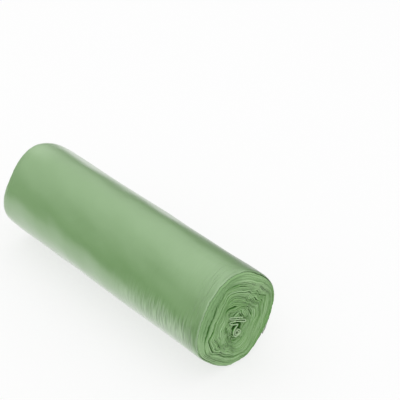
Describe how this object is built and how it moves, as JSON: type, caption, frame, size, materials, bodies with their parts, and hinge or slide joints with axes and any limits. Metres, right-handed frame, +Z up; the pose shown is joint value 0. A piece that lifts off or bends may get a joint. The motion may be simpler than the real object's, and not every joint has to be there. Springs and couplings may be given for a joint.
{
  "type": "bin bag roll",
  "caption": "Coreless roll of thin refuse sacks, wound tightly and lying on its side, with the turns open at both ends.",
  "frame": {"origin": "centre of the footprint, on the table", "axes": "+Z up; +X along the roll, towards the end that shows in the picture; +Y to the right when that end is looked at"},
  "size_m": [0.229, 0.0756, 0.0788],
  "materials": {
    "film": "satin pastel green polythene film, slightly translucent at its edges"
  },
  "bodies": {
    "root": {"bag_roll": "film"}
  },
  "joints": []
}
